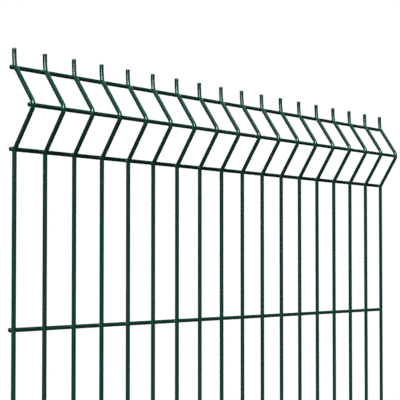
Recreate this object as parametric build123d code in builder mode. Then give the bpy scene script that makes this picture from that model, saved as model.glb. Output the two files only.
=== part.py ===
from build123d import *

import os
from math import cos, radians

# Welded mesh fence panel of round coated steel wire, in millimetres, +Z up.
#
# Straight cross wires run along X. The vertical wires stand in front of them, on the -Y side, and
# are bent forward into a V-shaped fold at the top and at the bottom of the panel, which makes the
# mesh stiff. Every crossing is a weld, where the two wires are pressed a little into each other.
# The origin is the middle of the cut foot of the first vertical wire, which is the panel's lower
# left corner as seen from the front.

# Wire and welds
wire_diameter = 5.3  # over the coating, and across the flats of the bars that stand for it
wire_sides = 8
weld_sink = 1.0  # how far two welded wires are pressed into each other

# Mesh
vertical_wires = 18
vertical_spacing = 50.0  # from one vertical wire to the next
cells_between_folds = 4
cell_height = 200.0  # height of one cell between the folds
side_overhang = 3.0  # from the outer vertical wire's axis to the cross wire's end

# Folds and ends of the vertical wires, all on the wire's axis
outer_leg_rise = 45.0  # height of the fold's leg at the panel's edge
inner_leg_rise = 49.0  # height of its other leg, beside the cells
fold_depth = 30.0  # from the mesh to the point where the two legs' axes meet
apex_bend = 10.0  # bend radius where the two legs meet
tip_length = 20.0  # above the top fold
foot_length = 8.0  # below the bottom fold

wire_radius = wire_diameter / 2
weld_distance = wire_diameter - weld_sink  # between the axes of two welded wires

# Levels, from the ground up
bottom_fold = foot_length
field_bottom = bottom_fold + outer_leg_rise + inner_leg_rise
top_fold = field_bottom + cells_between_folds * cell_height
tip_start = top_fold + inner_leg_rise + outer_leg_rise
panel_top = tip_start + tip_length

# The axis (y, z) of a vertical wire: its foot, the corners of both folds, its tip
wire_line = [
    (0, 0),
    (0, bottom_fold),
    (-fold_depth, bottom_fold + outer_leg_rise),
    (0, field_bottom),
    (0, top_fold),
    (-fold_depth, top_fold + inner_leg_rise),
    (0, tip_start),
    (0, panel_top),
]
bend_radii = 2 * [0, apex_bend, 0]


def behind_bend(number):
    """Where the cross wire (y, z) lies behind a corner of the wire line.

    Its weld lies on the line that halves the corner. An arc in the corner pulls the vertical wire
    in from the corner's point, and the cross wire with it.
    """
    before, corner, after = (Vector(0, *place) for place in wire_line[number - 1 : number + 2])
    arriving, leaving = (corner - before).normalized(), (after - corner).normalized()
    half_turn = radians(arriving.get_angle(leaving) / 2)
    pulled_in = bend_radii[number - 1] * (1 / cos(half_turn) - 1)
    backwards = (arriving + leaving).normalized().cross(Vector(1, 0, 0))
    place = corner + backwards * (pulled_in + weld_distance)
    return place.Y, place.Z


# The axis (y, z) of each cross wire: three in each fold, and one at each level between the cells
cross_wire_places = {
    "bottom_fold_lower_wire": behind_bend(1),
    "bottom_fold_apex_wire": behind_bend(2),
    "bottom_fold_upper_wire": behind_bend(3),
    "top_fold_lower_wire": behind_bend(4),
    "top_fold_apex_wire": behind_bend(5),
    "top_fold_upper_wire": behind_bend(6),
}
for level in range(1, cells_between_folds):
    cross_wire_places[f"field_wire_{level}"] = (weld_distance, field_bottom + level * cell_height)


def write(part, name):
    part.label = name
    export_step(part, f"parts/{name}.step")


os.makedirs("parts", exist_ok=True)
columns = [(column * vertical_spacing, 0, 0) for column in range(vertical_wires)]

# One vertical wire: a round bar bent at both folds, with its sheared ends up and down
with BuildPart() as bent_wire:
    with BuildLine(Plane.YZ):
        FilletPolyline(*wire_line, radius=bend_radii)
    with BuildSketch(Plane.XY):
        RegularPolygon(wire_radius, wire_sides, major_radius=False, rotation=180 / wire_sides)
    sweep(transition=Transition.RIGHT)

for number, column in enumerate(columns, 1):
    with BuildPart() as vertical_wire:
        with Locations(column):
            add(bent_wire.part)
    write(vertical_wire.part, f"vertical_wire_{number:02d}")

# The cross wires: straight round bars with a seat at each weld, where a vertical wire sank in
mesh_width = columns[-1][0]
for name, place in cross_wire_places.items():
    with BuildPart() as cross_wire:
        with BuildSketch(Plane.YZ.offset(-side_overhang)):
            with Locations(place):
                RegularPolygon(wire_radius, wire_sides, major_radius=False, rotation=180 / wire_sides)
        extrude(amount=mesh_width + 2 * side_overhang)
        with Locations(*columns):
            add(bent_wire.part, mode=Mode.SUBTRACT)
    write(cross_wire.part, name)
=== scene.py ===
from math import atan2, cos, pi, radians, sin, tan

import bpy
import numpy as np
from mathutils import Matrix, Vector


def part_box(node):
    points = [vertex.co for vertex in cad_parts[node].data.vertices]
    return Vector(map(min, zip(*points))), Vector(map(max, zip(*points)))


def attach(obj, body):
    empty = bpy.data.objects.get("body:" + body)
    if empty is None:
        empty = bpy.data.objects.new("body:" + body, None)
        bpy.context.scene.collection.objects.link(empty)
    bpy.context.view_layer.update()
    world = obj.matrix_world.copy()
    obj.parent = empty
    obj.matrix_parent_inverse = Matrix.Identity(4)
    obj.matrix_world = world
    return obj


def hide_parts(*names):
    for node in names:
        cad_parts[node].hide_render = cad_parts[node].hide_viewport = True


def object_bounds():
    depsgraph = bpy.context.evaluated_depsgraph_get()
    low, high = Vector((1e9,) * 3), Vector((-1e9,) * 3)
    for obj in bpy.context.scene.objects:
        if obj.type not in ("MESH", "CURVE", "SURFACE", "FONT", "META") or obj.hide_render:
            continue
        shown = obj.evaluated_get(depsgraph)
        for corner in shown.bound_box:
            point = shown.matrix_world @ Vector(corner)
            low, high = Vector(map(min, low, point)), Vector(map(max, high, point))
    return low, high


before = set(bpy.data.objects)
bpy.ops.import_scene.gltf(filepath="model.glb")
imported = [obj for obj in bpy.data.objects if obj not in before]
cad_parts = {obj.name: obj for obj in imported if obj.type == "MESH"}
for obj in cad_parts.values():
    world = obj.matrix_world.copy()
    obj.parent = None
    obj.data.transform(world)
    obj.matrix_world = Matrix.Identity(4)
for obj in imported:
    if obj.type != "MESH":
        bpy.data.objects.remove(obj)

cad_low, cad_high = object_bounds()

# The camera. The photograph looks at the panel from its front left, at about three quarters of
# its height, with a long lens. The panel's sides and its lower part run up to or past the frame.
IMAGE_SIZE = 400
SENSOR_WIDTH = 36.0
focal_pixels = 1324.6
principal_row = 218.6  # the picture's row, from its top, that the camera's axis meets
camera_place = (-1.0662, -1.0304, 0.7743)
camera_heading = radians(53.97)  # from +Y towards +X
camera_tilt = radians(2.0)  # upwards

camera_data = bpy.data.cameras.new("camera")
camera_data.sensor_width = SENSOR_WIDTH
camera_data.lens = focal_pixels / IMAGE_SIZE * SENSOR_WIDTH
camera_data.shift_y = (principal_row - IMAGE_SIZE / 2) / IMAGE_SIZE
camera = bpy.data.objects.new("camera", camera_data)
camera.location = camera_place
camera.rotation_euler = (pi / 2 + camera_tilt, 0, -camera_heading)
bpy.context.scene.collection.objects.link(camera)
bpy.context.scene.camera = camera


# The vertical wires. Each is one round bar of drawn steel, bent forward into a V-shaped fold at
# the top and at the bottom of the panel, sheared off at both ends and coated after the mesh was
# welded. The welding electrodes leave a shallow flat on its front at each cross wire.
wire_names = sorted(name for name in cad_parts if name.startswith("vertical_wire_"))
first_low, first_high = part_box(wire_names[0])
wire_radius = (first_high.x - first_low.x) / 2
panel_top = first_high.z
weld_distance = 0.0043  # between the axes of two welded wires
foot_length = 0.008
outer_leg_rise = 0.045
inner_leg_rise = 0.049
fold_depth = 0.030
fold_height = outer_leg_rise + inner_leg_rise
outer_slope = atan2(fold_depth, outer_leg_rise)
inner_slope = atan2(fold_depth, inner_leg_rise)
corner_bend = 0.0045  # bend radii of the wire's axis
apex_bend = 0.010
tip_length = 0.020
tip_start = panel_top - tip_length
tip_lean = radians(6)  # backwards, just above the top fold; the tip straightens up to its end
tip_arc_share = 0.42  # of the tip's length, from its middle to each end of its soft arc
tip_rim = 0.0007  # rounding of the coat at the sheared ends
flat_depth = 0.00016  # of the electrodes' flats
flat_reach = 0.0014
flat_swelling = 0.00005  # of the steel pressed out at both sides of a flat
SIDES = 32
ring_step = 0.0006  # between the rings of points near a weld
ring_reach = 0.0042  # from a weld to the last of them
LEAST_ARC_STEPS = 6


def bent_line(corners, radii, marks):
    """Points and unit tangents in the YZ plane along a line of straight runs joined by arcs.

    The arc at a corner touches both runs at radius * tan(turn / 2) from the corner, and a point
    at angle t on it is centre + radius * (sin t * way - cos t * normal). Straight runs are divided
    only near the marks, which are places (y, z) of welds, where the bar's shape changes. Places
    less than a tenth of a micrometre apart become one.
    """
    corners, marks = np.array(corners, float), np.array(marks)
    ways = np.diff(corners, axis=0)
    lengths = np.linalg.norm(ways, axis=1)
    ways /= lengths[:, None]
    turns = np.arccos(np.clip((ways[:-1] * ways[1:]).sum(1), -1, 1))
    trims = np.concatenate([[0], np.array(radii) * np.tan(turns / 2), [0]])
    near_marks = np.arange(-ring_reach, ring_reach + ring_step / 2, ring_step)
    merge_digits = 7
    points, tangents = [], []
    for run, way in enumerate(ways):
        start = corners[run] + way * trims[run]
        length = lengths[run] - trims[run] - trims[run + 1]
        along = ((marks - start) @ way)[:, None] + near_marks
        off_line = np.abs((marks - start) @ np.array([way[1], -way[0]]))
        along = along[off_line < 2 * weld_distance].ravel()
        along = along[(along > ring_step / 2) & (along < length - ring_step / 2)]
        along = np.unique(np.concatenate([[0, length], along]).round(merge_digits))
        points.append(start + along[:, None] * way)
        tangents.append(np.repeat(way[None], len(along), 0))
        if run < len(radii):
            after = ways[run + 1]
            side = np.sign(way[0] * after[1] - way[1] * after[0])
            normal = side * np.array([-way[1], way[0]])
            centre = points[-1][-1] + radii[run] * normal
            steps = max(LEAST_ARC_STEPS, int(radii[run] * turns[run] / ring_step))
            t = np.linspace(0, turns[run], steps + 1)[1:-1, None]
            points.append(centre + radii[run] * (np.sin(t) * way - np.cos(t) * normal))
            tangents.append(np.cos(t) * way + np.sin(t) * normal)
    return np.concatenate(points), np.concatenate(tangents)


def add_mesh(name, points, faces):
    """A smooth mesh object at the origin from points (n, 3) and a list of faces."""
    mesh = bpy.data.meshes.new(name)
    mesh.from_pydata(points.tolist(), [], faces)
    mesh.polygons.foreach_set("use_smooth", np.ones(len(mesh.polygons), bool))
    mesh.update()
    piece = bpy.data.objects.new(name, mesh)
    bpy.context.scene.collection.objects.link(piece)
    return piece


def grid_faces(rows, columns, start=0, closed_rows=False):
    """Quads between the rows of a grid whose columns close round, as lists of point numbers."""
    row = np.arange(rows if closed_rows else rows - 1)[:, None]
    column = np.arange(columns)[None]
    here, above = row * columns, (row + 1) % rows * columns
    beside = (column + 1) % columns
    quads = np.stack([here + column, here + beside, above + beside, above + column], -1)
    return (quads.reshape(-1, 4) + start).tolist()


def end_rings(rim):
    """Set-back and radius of the rings that round off a sheared end, from the flat outwards.

    The coat's edge is a quarter circle: set-back = rim * (1 - cos t) and
    radius = wire radius - rim * (1 - sin t).
    """
    rim_rings = 6
    flat_shares = np.array([0.3, 0.6, 0.85])
    t = np.linspace(0, pi / 2, rim_rings)
    set_back = np.concatenate([np.zeros(len(flat_shares)), rim * (1 - np.cos(t))])
    ring = np.concatenate([flat_shares * (wire_radius - rim), wire_radius - rim * (1 - np.sin(t))])
    return set_back, ring


def bar(name, points, tangents, side, marks, mark_way, shear, rim):
    """A round bar carried along a line, with rounded sheared ends and flats left by electrodes.

    A point at angle a round the bar is centre + r * (cos a * normal + sin a * side). Near a weld,
    one of marks, r shrinks by a bell curve along the bar times a power of a cosine round it, on
    the side that mark_way gives, and the bar swells a little at both sides of that flat. shear
    holds the slope of each sheared end and the way it faces round the bar, and rim is how far its
    edge is rounded.
    """
    dent_power, swell_power = 6, 4
    set_back, ring = end_rings(rim)
    first, last = points[0], points[-1]
    keep = slice(1, -1)
    centres = np.concatenate([
        first + set_back[:, None] * tangents[0],
        points[keep],
        (last - set_back[:, None] * tangents[-1])[::-1],
    ])
    ways = np.concatenate([
        np.repeat(tangents[:1], len(ring), 0),
        tangents[keep],
        np.repeat(tangents[-1:], len(ring), 0),
    ])
    radii = np.concatenate([ring, np.full(len(points) - 2, wire_radius), ring[::-1]])
    normals = np.cross(side, ways)
    a = np.linspace(0, 2 * pi, SIDES, endpoint=False)
    round_bar = np.cos(a)[None, :, None] * normals[:, None] + np.sin(a)[None, :, None] * side
    far = np.linalg.norm(centres[:, None] - marks[None], axis=2)
    bell = np.exp(-((far / flat_reach) ** 2))
    toward = np.einsum("rai,mi->rma", round_bar, mark_way)
    dent = (bell[:, :, None] * np.clip(toward, 0, 1) ** dent_power).sum(1)
    swell = (bell[:, :, None] * (1 - toward**2) ** swell_power).sum(1)
    r = radii[:, None] - flat_depth * dent + flat_swelling * swell
    shape = centres[:, None] + r[..., None] * round_bar
    low_end, high_end = slice(0, len(ring)), slice(-len(ring), None)
    for end, inward, (slope, turn) in ((low_end, 1, shear[0]), (high_end, -1, shear[1])):
        cut = slope * (wire_radius - r[end] * np.cos(a + turn))
        shape[end] += inward * cut[..., None] * ways[end][:, None]
    faces = grid_faces(len(centres), SIDES)
    count = len(centres) * SIDES
    faces.append(list(range(SIDES))[::-1])
    faces.append(list(range(count - SIDES, count)))
    return add_mesh(name, shape.reshape(-1, 3), faces)


class Socket:
    """A node's output that sums and products are written with: each one adds its Math node."""

    def __init__(self, finish, socket):
        self.finish, self.socket = finish, socket

    def math(self, operation, other):
        return self.finish.node("ShaderNodeMath", {"operation": operation}, {0: self, 1: other})

    def __add__(self, other):
        return self.math("ADD", other)

    def __mul__(self, other):
        return self.math("MULTIPLY", other)

    __radd__, __rmul__ = __add__, __mul__

    def clamp(self):
        return self.finish.node("ShaderNodeClamp", {}, {"Value": self})


class Finish:
    """The nodes of a material, or of the world round the panel, and the ways to add to them."""

    def __init__(self, data):
        self.data = data
        self.data.use_nodes = True
        self.tree = self.data.node_tree
        self.tree.nodes.clear()

    def node(self, kind, settings, values, output=0):
        """Adds a node: its settings first, then the value of or the link into each socket."""
        made = self.tree.nodes.new(kind)
        for key, value in settings.items():
            setattr(made, key, value)
        for key, value in values.items():
            if isinstance(value, Socket):
                self.tree.links.new(value.socket, made.inputs[key])
            else:
                made.inputs[key].default_value = value
        return Socket(self, made.outputs[output]) if made.outputs else None

    def noise(self, scale, stretch=(1, 1, 1), detail=2.0):
        """Noise from 0 to 1 in object coordinates, with cells 1 / (scale * stretch) metres long."""
        place = self.node("ShaderNodeTexCoord", {}, {}, "Object")
        place = self.node("ShaderNodeMapping", {}, {"Vector": place, "Scale": stretch})
        values = {"Vector": place, "Scale": scale, "Detail": detail}
        return self.node("ShaderNodeTexNoise", {}, values)

    def blend(self, factor, first, second):
        """A colour between two colours, which are sockets 6 and 7 of a Mix node."""
        values = {"Factor": factor, 6: first, 7: second}
        return self.node("ShaderNodeMix", {"data_type": "RGBA"}, values, 2)


def coated_steel(name, along):
    """Moss-green polyester powder baked onto galvanized wire.

    The baked powder has a fine orange peel, and broad soft patches where it is a little thicker,
    darker and glossier. Faint lines of the drawn wire show through along the bar. Each sum below
    gives the shares that these patterns have in the colour, the roughness and the height.
    """
    deep_green = (0.0148, 0.083, 0.052, 1)
    moss_green = (0.0225, 0.113, 0.0720, 1)
    green_sheen = (0.62, 1.0, 0.87, 1)
    powder_ior = 1.5
    peel_depth = 0.00002
    cells_along, cells_across = 14.0, 2600.0  # to a metre, of the drawn lines
    line_cells = tuple(cells_along if axis == along else cells_across for axis in "xyz")
    finish = Finish(bpy.data.materials.new(name))
    patches = finish.noise(42.0, detail=3.0)
    grain = finish.noise(700.0)
    peel = finish.noise(1500.0, detail=1.0)
    drawn = finish.noise(1.0, stretch=line_cells)
    tone = (0.7 * patches + 0.18 * grain + 0.12 * drawn).clamp()
    colour = finish.blend(tone, deep_green, moss_green)
    roughness = 0.06 + 0.03 * patches + 0.02 * grain + 0.01 * drawn
    height = 0.6 * peel + 0.3 * grain + 0.25 * drawn
    bump = finish.node(
        "ShaderNodeBump", {}, {"Strength": 1.0, "Distance": peel_depth, "Height": height}
    )
    surface = finish.node(
        "ShaderNodeBsdfPrincipled",
        {},
        {
            "Base Color": colour,
            "Roughness": roughness,
            "Normal": bump,
            "IOR": powder_ior,
            "Specular Tint": green_sheen,
        },
    )
    finish.node("ShaderNodeOutputMaterial", {}, {"Surface": surface})
    return finish.data


def cut_ends(chance):
    """Slope and facing of the two sheared ends of a bar."""
    least_slope, most_slope = 0.02, 0.09
    return list(zip(chance.uniform(least_slope, most_slope, 2), chance.uniform(0, 2 * pi, 2)))


across_panel = np.array([1.0, 0.0, 0.0])
cross_names = sorted(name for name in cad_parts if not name.startswith("vertical_wire_"))
cross_places = []
for name in cross_names:
    low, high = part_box(name)
    cross_places.append([(low.y + high.y) / 2, (low.z + high.z) / 2])
cross_places = np.array(cross_places)

wire_line = [
    (0, 0),
    (0, foot_length),
    (-fold_depth, foot_length + outer_leg_rise),
    (0, foot_length + fold_height),
    (0, tip_start - fold_height),
    (-fold_depth, tip_start - outer_leg_rise),
    (0, tip_start),
    (tip_length / 2 * tan(tip_lean), tip_start + tip_length / 2),
    (tip_length / 2 * tan(tip_lean), panel_top),
]
tip_bend = tip_arc_share * tip_length / tan(tip_lean / 2)
bends = 2 * [corner_bend, apex_bend, corner_bend] + [tip_bend]
line_points, line_ways = bent_line(wire_line, bends, cross_places)
nearest = np.linalg.norm(line_points[None] - cross_places[:, None], axis=2).argmin(1)
weld_bases, weld_ways = line_points[nearest], line_ways[nearest]
weld_reach = cross_places - weld_bases
weld_normals = weld_reach / np.linalg.norm(weld_reach, axis=1)[:, None]


def in_panel(points, x=0.0):
    """Points (y, z) of the line's plane as points (x, y, z)."""
    return np.concatenate([np.full((*points.shape[:-1], 1), x), points], -1)


coat_on_verticals = coated_steel("coat_on_vertical_wires", "z")
chance = np.random.default_rng(seed=18)
columns = []
for name in wire_names:
    low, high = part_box(name)
    column = (low.x + high.x) / 2
    columns.append(column)
    wire = bar(
        f"coated_{name}",
        in_panel(line_points, column),
        in_panel(line_ways),
        across_panel,
        in_panel(weld_bases, column),
        in_panel(-weld_normals),
        cut_ends(chance),
        tip_rim,
    )
    wire.data.materials.append(coat_on_verticals)
    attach(wire, "root")
    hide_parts(name)


# The cross wires. They are straight round bars of the same steel, laid behind the vertical wires
# and welded to them: three in each fold and the others a mesh length apart between the folds.
# They stand out a little past the outer vertical wires, where they are sheared off.
coat_on_cross_wires = coated_steel("coat_on_cross_wires", "x")
columns = np.array(columns)
upwards = np.array([0.0, 0.0, 1.0])
weld_steps = np.arange(-ring_reach, ring_reach, ring_step)
cross_rim = 0.0012  # the coat is thicker on the cross wires' ends
for name, place, normal in zip(cross_names, cross_places, weld_normals):
    low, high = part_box(name)
    near_welds = (columns[:, None] + weld_steps).ravel()
    near_welds = near_welds[(near_welds > low.x + cross_rim) & (near_welds < high.x - cross_rim)]
    along = np.sort(np.concatenate([[low.x, high.x], near_welds]))
    points = np.stack([along, *np.broadcast_to(place[:, None], (2, len(along)))], 1)
    marks = np.stack([columns, *np.broadcast_to(place[:, None], (2, len(columns)))], 1)
    wire = bar(
        f"coated_{name}",
        points,
        np.repeat(across_panel[None], len(points), 0),
        upwards,
        marks,
        np.repeat(in_panel(normal)[None], len(columns), 0),
        cut_ends(chance),
        cross_rim,
    )
    wire.data.materials.append(coat_on_cross_wires)
    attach(wire, "root")
    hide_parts(name)


# The welds. Current and pressure sink each vertical wire into the cross wire behind it, squeeze
# a low collar of steel out round the joint, and the powder fills what crease is left.
COLLAR_STEPS, COLLAR_WAYS = 28, 6
HALVINGS = 40
collar_leg = 0.0011
collar_fullness = 0.2  # 0 follows the crease, 1 runs straight across it
root_share = 0.55  # how far from the weld's middle to its crease the collar is closed
two_lobes, three_lobes = 0.12, 0.08  # unevenness of the squeezed steel
cut_margin = 0.0006  # the outer welds' collars end this far inside the cross wires' cut ends
round_weld = np.linspace(0, 2 * pi, COLLAR_STEPS, endpoint=False)


def collars(reach, bend_radius, bend_half, legs):
    """Collars round welds, as points (weld, way round, step across, (x, along wire, out)).

    Way round is an angle p about the line through both wires' axes. On the vertical wire's skin,
    the crease lies in that way at the distance where the skin meets the cross wire's skin, found
    by halving. The collar starts a leg's length outside the crease on one skin, ends so on the
    other, and runs between them as the curve (1-s)^2 A + 2 s (1-s) M + s^2 B, with M near the
    crease. One more row closes it inside both wires. bend_radius is negative where the vertical
    wire bends away from the cross wire, and bend_half is half of the bend's length.
    """
    p = round_weld

    def vertical_skin(far):
        around, along = far * np.cos(p) / wire_radius, far * np.sin(p)
        turn = np.clip(along, -bend_half, bend_half) / bend_radius
        rest = along - turn * bend_radius
        radial = wire_radius * np.cos(around)
        up = bend_radius * np.sin(turn) + rest * np.cos(turn) - radial * np.sin(turn)
        out = bend_radius * (1 - np.cos(turn)) + rest * np.sin(turn) + radial * np.cos(turn)
        return np.stack([wire_radius * np.sin(around), up, out], -1)

    inside, outside = np.zeros(COLLAR_STEPS), np.full(COLLAR_STEPS, 2 * wire_radius)
    for _ in range(HALVINGS):
        middle = (inside + outside) / 2
        point = vertical_skin(middle)
        buried = np.hypot(point[:, 1], point[:, 2] - reach) < wire_radius
        inside, outside = np.where(buried, middle, inside), np.where(buried, outside, middle)
    crease = vertical_skin(inside)
    first = vertical_skin(inside + legs)
    around = np.arctan2(crease[:, 1], reach - crease[:, 2])
    flat = np.stack([crease[:, 0], wire_radius * around], -1)
    flat = flat * (1 + legs / np.linalg.norm(flat, axis=-1))[..., None]
    turn = flat[..., 1] / wire_radius
    last = np.stack([flat[..., 0], wire_radius * np.sin(turn), reach - wire_radius * np.cos(turn)], -1)
    control = crease + collar_fullness * ((first + last) / 2 - crease)
    s = np.linspace(0, 1, COLLAR_WAYS)[:, None]
    first, last, control = (at[..., None, :] for at in (first, last, control))
    curve = (1 - s) ** 2 * first + 2 * s * (1 - s) * control + s**2 * last
    root = np.array([0, 0, reach / 2])
    buried_row = root + root_share * (np.broadcast_to(crease, curve[..., 0, :].shape) - root)
    return np.concatenate([curve, buried_row[..., None, :]], -2)


coat_on_welds = coated_steel("coat_on_welds", "z")
for name, base, way, normal, place in zip(
    cross_names, weld_bases, weld_ways, weld_normals, cross_places
):
    if "apex" in name:
        bend_radius, bend_half = apex_bend, apex_bend * (outer_slope + inner_slope) / 2
    elif "fold" in name:
        bend_radius, bend_half = -corner_bend, corner_bend * inner_slope / 2
    else:  # a straight wire, where no part of the skin lies in a bend
        bend_radius, bend_half = 1.0, 0.0
    lumps = chance.uniform(0, 2 * pi, (len(columns), 2, 1))
    waves = two_lobes * np.sin(2 * round_weld + lumps[:, 0])
    waves = waves + three_lobes * np.sin(3 * round_weld + lumps[:, 1])
    reach = np.linalg.norm(place - base)
    shapes = collars(reach, bend_radius, bend_half, collar_leg * (1 + waves))
    weld_axes = np.stack([across_panel, in_panel(way), in_panel(normal)])
    centres = in_panel(np.broadcast_to(base, (len(columns), 2)))
    centres[:, 0] = columns
    points = shapes @ weld_axes + centres[:, None, None]
    points[..., 0] = np.clip(points[..., 0], cad_low.x + cut_margin, cad_high.x - cut_margin)
    per_weld = COLLAR_STEPS * (COLLAR_WAYS + 1)
    faces = []
    for weld in range(len(columns)):
        faces += grid_faces(COLLAR_STEPS, COLLAR_WAYS + 1, weld * per_weld, closed_rows=True)
    welds = add_mesh(f"welds_on_{name}", points.reshape(-1, 3), faces)
    welds.data.materials.append(coat_on_welds)
    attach(welds, "root")


# The studio: a pale floor that keeps the panel's shadow, and a white surround for the camera.
# Far lamps give the matt light. The coat's gloss mirrors the lamp behind and soft boxes in the
# world, and not the surround, because the wires are neither bare metal nor glass.
white = (1, 1, 1, 1)
floor_grey = (0.85, 0.85, 0.85, 1)
floor_glow = 0.62  # brings the floor that the camera sees up to white, apart from the shadow
grey_under_panel = (0.12, 0.12, 0.12, 1)  # the floor as it lights the panel from below
floor_size = 3.4
floor_under = 0.0004
half = floor_size / 2
corners = np.array([[-half, -half, 0], [half, -half, 0], [half, half, 0], [-half, half, 0]])
centre = (cad_low + cad_high) / 2
floor = add_mesh("floor", corners + np.array([centre.x, centre.y, -floor_under]), [[0, 1, 2, 3]])
floor_finish = Finish(bpy.data.materials.new("floor"))
camera_ray = floor_finish.node("ShaderNodeLightPath", {}, {}, "Is Camera Ray")
shadowed = floor_finish.node("ShaderNodeBsdfDiffuse", {}, {"Color": floor_grey})
lifted = floor_finish.node("ShaderNodeEmission", {}, {"Color": white, "Strength": floor_glow})
seen = floor_finish.node("ShaderNodeAddShader", {}, {0: shadowed, 1: lifted})
unseen = floor_finish.node("ShaderNodeBsdfDiffuse", {}, {"Color": grey_under_panel})
mixed = floor_finish.node("ShaderNodeMixShader", {}, {0: camera_ray, 1: unseen, 2: seen})
floor_finish.node("ShaderNodeOutputMaterial", {}, {"Surface": mixed})
floor.data.materials.append(floor_finish.data)

sky = Finish(bpy.data.worlds.new("studio"))
bpy.context.scene.world = sky.data
for_camera = sky.node("ShaderNodeLightPath", {}, {}, "Is Camera Ray")
for_gloss = sky.node("ShaderNodeLightPath", {}, {}, "Is Glossy Ray")
through = sky.node("ShaderNodeLightPath", {}, {}, "Is Transmission Ray")
look = sky.node("ShaderNodeTexCoord", {}, {}, "Object")


def softbox(turn, rise, width, strength):
    """A round field of the sky, turn degrees from -Y towards -X and rise degrees up.

    It is width degrees across, with a soft edge, and as bright as a lamp of that width and
    strength: strength / sin(width / 2)^2. Only glossy rays see it.
    """
    edge = 6  # degrees from its full light to none
    turn, rise = radians(turn), radians(rise)
    axis = (-sin(turn) * cos(rise), -cos(turn) * cos(rise), sin(rise))
    nearness = sky.node("ShaderNodeVectorMath", {"operation": "DOT_PRODUCT"}, {0: look, 1: axis}, 1)
    return sky.node(
        "ShaderNodeMapRange",
        {"interpolation_type": "SMOOTHSTEP"},
        {
            "Value": nearness,
            "From Min": cos(radians((width + edge) / 2)),
            "From Max": cos(radians((width - edge) / 2)),
            "To Max": strength / sin(radians(width / 2)) ** 2,
        },
    )


softboxes = (
    softbox(turn=60, rise=21.5, width=23, strength=1.08)
    + softbox(turn=44, rise=25, width=22, strength=0.38)
    + softbox(turn=20, rise=50, width=20, strength=0.125)
    + softbox(turn=0, rise=-60, width=110, strength=0.038)
)
sky_strength = for_camera + through + for_gloss * softboxes
backdrop = sky.node("ShaderNodeBackground", {}, {"Color": white, "Strength": sky_strength})
sky.node("ShaderNodeOutputWorld", {}, {"Surface": backdrop})


def far_light(name, turn, rise, width, strength, glossy=False):
    """A lamp far away, turn degrees from -Y towards -X and rise degrees up, width degrees across.

    With a strength of 1, a matt white surface that faces it renders as white.
    """
    data = bpy.data.lights.new(name, "SUN")
    data.energy = pi * strength
    data.angle = radians(width)
    lamp = bpy.data.objects.new(name, data)
    lamp.rotation_euler = (radians(90 - rise), 0, -radians(turn))
    lamp.visible_glossy = glossy
    bpy.context.scene.collection.objects.link(lamp)


far_light("key", turn=45, rise=53, width=12, strength=0.56)
far_light("left", turn=90, rise=50, width=30, strength=0.35)
far_light("right", turn=-60, rise=50, width=30, strength=0.21)
far_light("behind", turn=234, rise=8, width=40, strength=0.45, glossy=True)

scene = bpy.context.scene
scene.view_settings.view_transform = "Standard"
